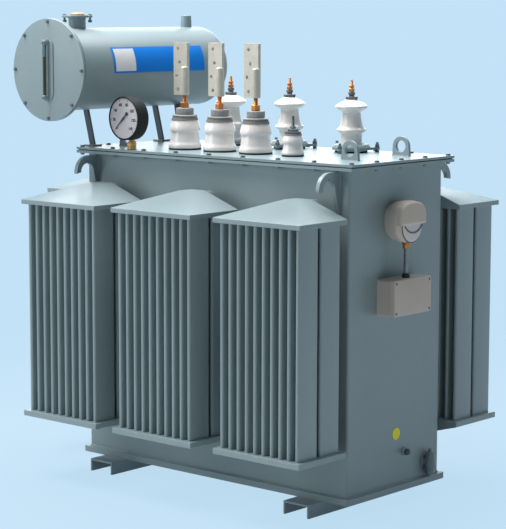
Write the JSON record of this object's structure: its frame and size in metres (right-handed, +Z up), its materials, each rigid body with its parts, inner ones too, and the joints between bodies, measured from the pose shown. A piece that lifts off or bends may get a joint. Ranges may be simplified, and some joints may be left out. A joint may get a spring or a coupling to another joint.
{
  "type": "oil-filled distribution power transformer",
  "caption": "Oil-filled distribution transformer: bolted tank with tube radiators, porcelain bushings and an oil conservator drum, on two skids.",
  "frame": {"origin": "on the floor, under the middle of the whole object's plan", "axes": "+X along the tank towards the relay end, +Y towards the high-voltage side, +Z up"},
  "size_m": [1.463, 1.021, 1.5345],
  "materials": {
    "tank_paint": "satin blue-grey enamel",
    "dark_paint": "satin dark grey paint",
    "gasket_cork": "matt cork and rubber sheet",
    "black_rubber": "matt",
    "white_porcelain": "glazed",
    "grey_cap": "cast, satin",
    "tinned_metal": "tinned, satin",
    "copper": "bare copper alloy",
    "cast_clamp": "cast, satin",
    "bare_guard": "bright, satin",
    "clear_glass": "clear",
    "black_case": "satin black",
    "brass_stem": "turned",
    "grey_housing": "satin taupe-grey",
    "conduit_steel": "corrugated, satin",
    "plated_bolt": "zinc plated",
    "valve_brass": "dull"
  },
  "bodies": {
    "root": {"tank_body": "tank_paint", "tank_flange": "tank_paint", "cover_plate": "tank_paint", "base_flange": "tank_paint", "skid_left": "tank_paint", "skid_right": "tank_paint", "lifting_hooks": "tank_paint", "cover_lugs": "tank_paint", "conservator_shell": "tank_paint", "conservator_cover": "tank_paint", "conservator_end": "tank_paint", "oil_filler": "tank_paint", "conservator_vent": "tank_paint", "radiator_end_headers": "tank_paint", "radiator_end_tubes": "tank_paint", "radiator_front_left_headers": "tank_paint", "radiator_front_left_tubes": "tank_paint", "radiator_front_middle_headers": "tank_paint", "radiator_front_middle_tubes": "tank_paint", "radiator_front_right_headers": "tank_paint", "radiator_front_right_tubes": "tank_paint", "radiator_rear_left_headers": "tank_paint", "radiator_rear_left_tubes": "tank_paint", "radiator_rear_middle_headers": "tank_paint", "radiator_rear_middle_tubes": "tank_paint", "radiator_rear_right_headers": "tank_paint", "radiator_rear_right_tubes": "tank_paint", "cover_gasket": "gasket_cork", "conservator_legs": "dark_paint", "oil_pipe": "dark_paint", "bushing_gaskets": "black_rubber", "lv_porcelain": "white_porcelain", "neutral_porcelain": "white_porcelain", "hv_porcelain": "white_porcelain", "lv_caps": "grey_cap", "neutral_terminal": "tinned_metal", "lv_flags": "tinned_metal", "lv_studs": "copper", "hv_terminals": "copper", "hv_clamps": "cast_clamp", "sight_gauge_guard": "bare_guard", "sight_glass": "clear_glass", "dial_thermometer": "black_case", "thermometer_pocket": "brass_stem", "wall_relay": "grey_housing", "terminal_box": "grey_housing", "relay_conduit": "conduit_steel", "earth_terminal": "plated_bolt", "drain_valve": "valve_brass"}
  },
  "joints": []
}
